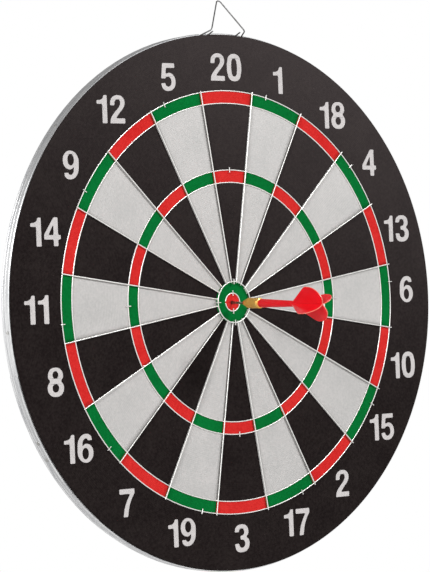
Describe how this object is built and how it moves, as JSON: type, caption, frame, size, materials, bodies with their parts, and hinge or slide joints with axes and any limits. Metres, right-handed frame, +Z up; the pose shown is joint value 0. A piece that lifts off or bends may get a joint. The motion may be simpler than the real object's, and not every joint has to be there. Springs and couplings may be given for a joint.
{
  "type": "dartboard",
  "caption": "Round wall dartboard of wound paper with a printed face, wire spider, beaded steel rim band, swinging wire hanger and a steel-point dart stuck in the bull.",
  "frame": {"origin": "centre of the flat rear face, on the wall", "axes": "+Z up, +X to the player's right, +Y out of the rear face into the wall; the playing face looks along -Y"},
  "size_m": [0.4354, 0.1259, 0.4624],
  "materials": {
    "core_paper": "wound grey-brown paper strip, edge on",
    "flock_black": "black flocked paper, matt, with faint rings of the wound paper under it",
    "flock_white": "white flocked print, matt",
    "flock_red": "red flocked print, matt",
    "flock_green": "green flocked print, matt",
    "number_white": "white printed numbers, matt",
    "rear_paper": "plain dark flocked paper, matt",
    "band_steel": "thin galvanised strip, rolled beads, soft dents",
    "fastener_steel": "zinc-plated heads",
    "spider_wire": "bright plated wire",
    "staple_wire": "bright plated staple wire",
    "hanger_steel": "plain drawn steel wire",
    "needle_steel": "ground steel point, worn",
    "barrel_brass": "knurled brass, worn bright on its ridges",
    "dart_plastic": "glossy red moulded plastic, slightly translucent at thin edges"
  },
  "bodies": {
    "board": {"double_inner_ring": "spider_wire", "double_outer_ring": "spider_wire", "double_ring_staples": "staple_wire", "front_facing": "flock_black", "inner_bull_ring": "spider_wire", "inner_bull_staples": "staple_wire", "outer_bull_ring": "spider_wire", "outer_bull_staples": "staple_wire", "radial_wire_01": "spider_wire", "radial_wire_02": "spider_wire", "radial_wire_03": "spider_wire", "radial_wire_04": "spider_wire", "radial_wire_05": "spider_wire", "radial_wire_06": "spider_wire", "radial_wire_07": "spider_wire", "radial_wire_08": "spider_wire", "radial_wire_09": "spider_wire", "radial_wire_10": "spider_wire", "radial_wire_11": "spider_wire", "radial_wire_12": "spider_wire", "radial_wire_13": "spider_wire", "radial_wire_14": "spider_wire", "radial_wire_15": "spider_wire", "radial_wire_16": "spider_wire", "radial_wire_17": "spider_wire", "radial_wire_18": "spider_wire", "radial_wire_19": "spider_wire", "radial_wire_20": "spider_wire", "rear_facing": "rear_paper", "rim_band": "band_steel", "rim_band_rivets": "fastener_steel", "rim_band_tacks": "fastener_steel", "treble_inner_ring": "spider_wire", "treble_outer_ring": "spider_wire", "treble_ring_staples": "staple_wire", "wound_paper_core": "core_paper"},
    "hanger": {"hanger_wire": "hanger_steel"},
    "dart": {"dart_needle": "needle_steel", "dart_barrel": "barrel_brass", "dart_stem_flight": "dart_plastic"}
  },
  "joints": [
    {"name": "hanger_swing", "type": "hinge", "parent": "board", "child": "hanger", "pos_m": [0, -0.0079, 0.21495], "axis": [-1, 0, 0], "range_deg": [0, 90]},
    {"name": "dart_pull", "type": "slide", "parent": "board", "child": "dart", "axis": [0, -0.9995, -0.0332], "range_m": [0, 0.03]}
  ]
}
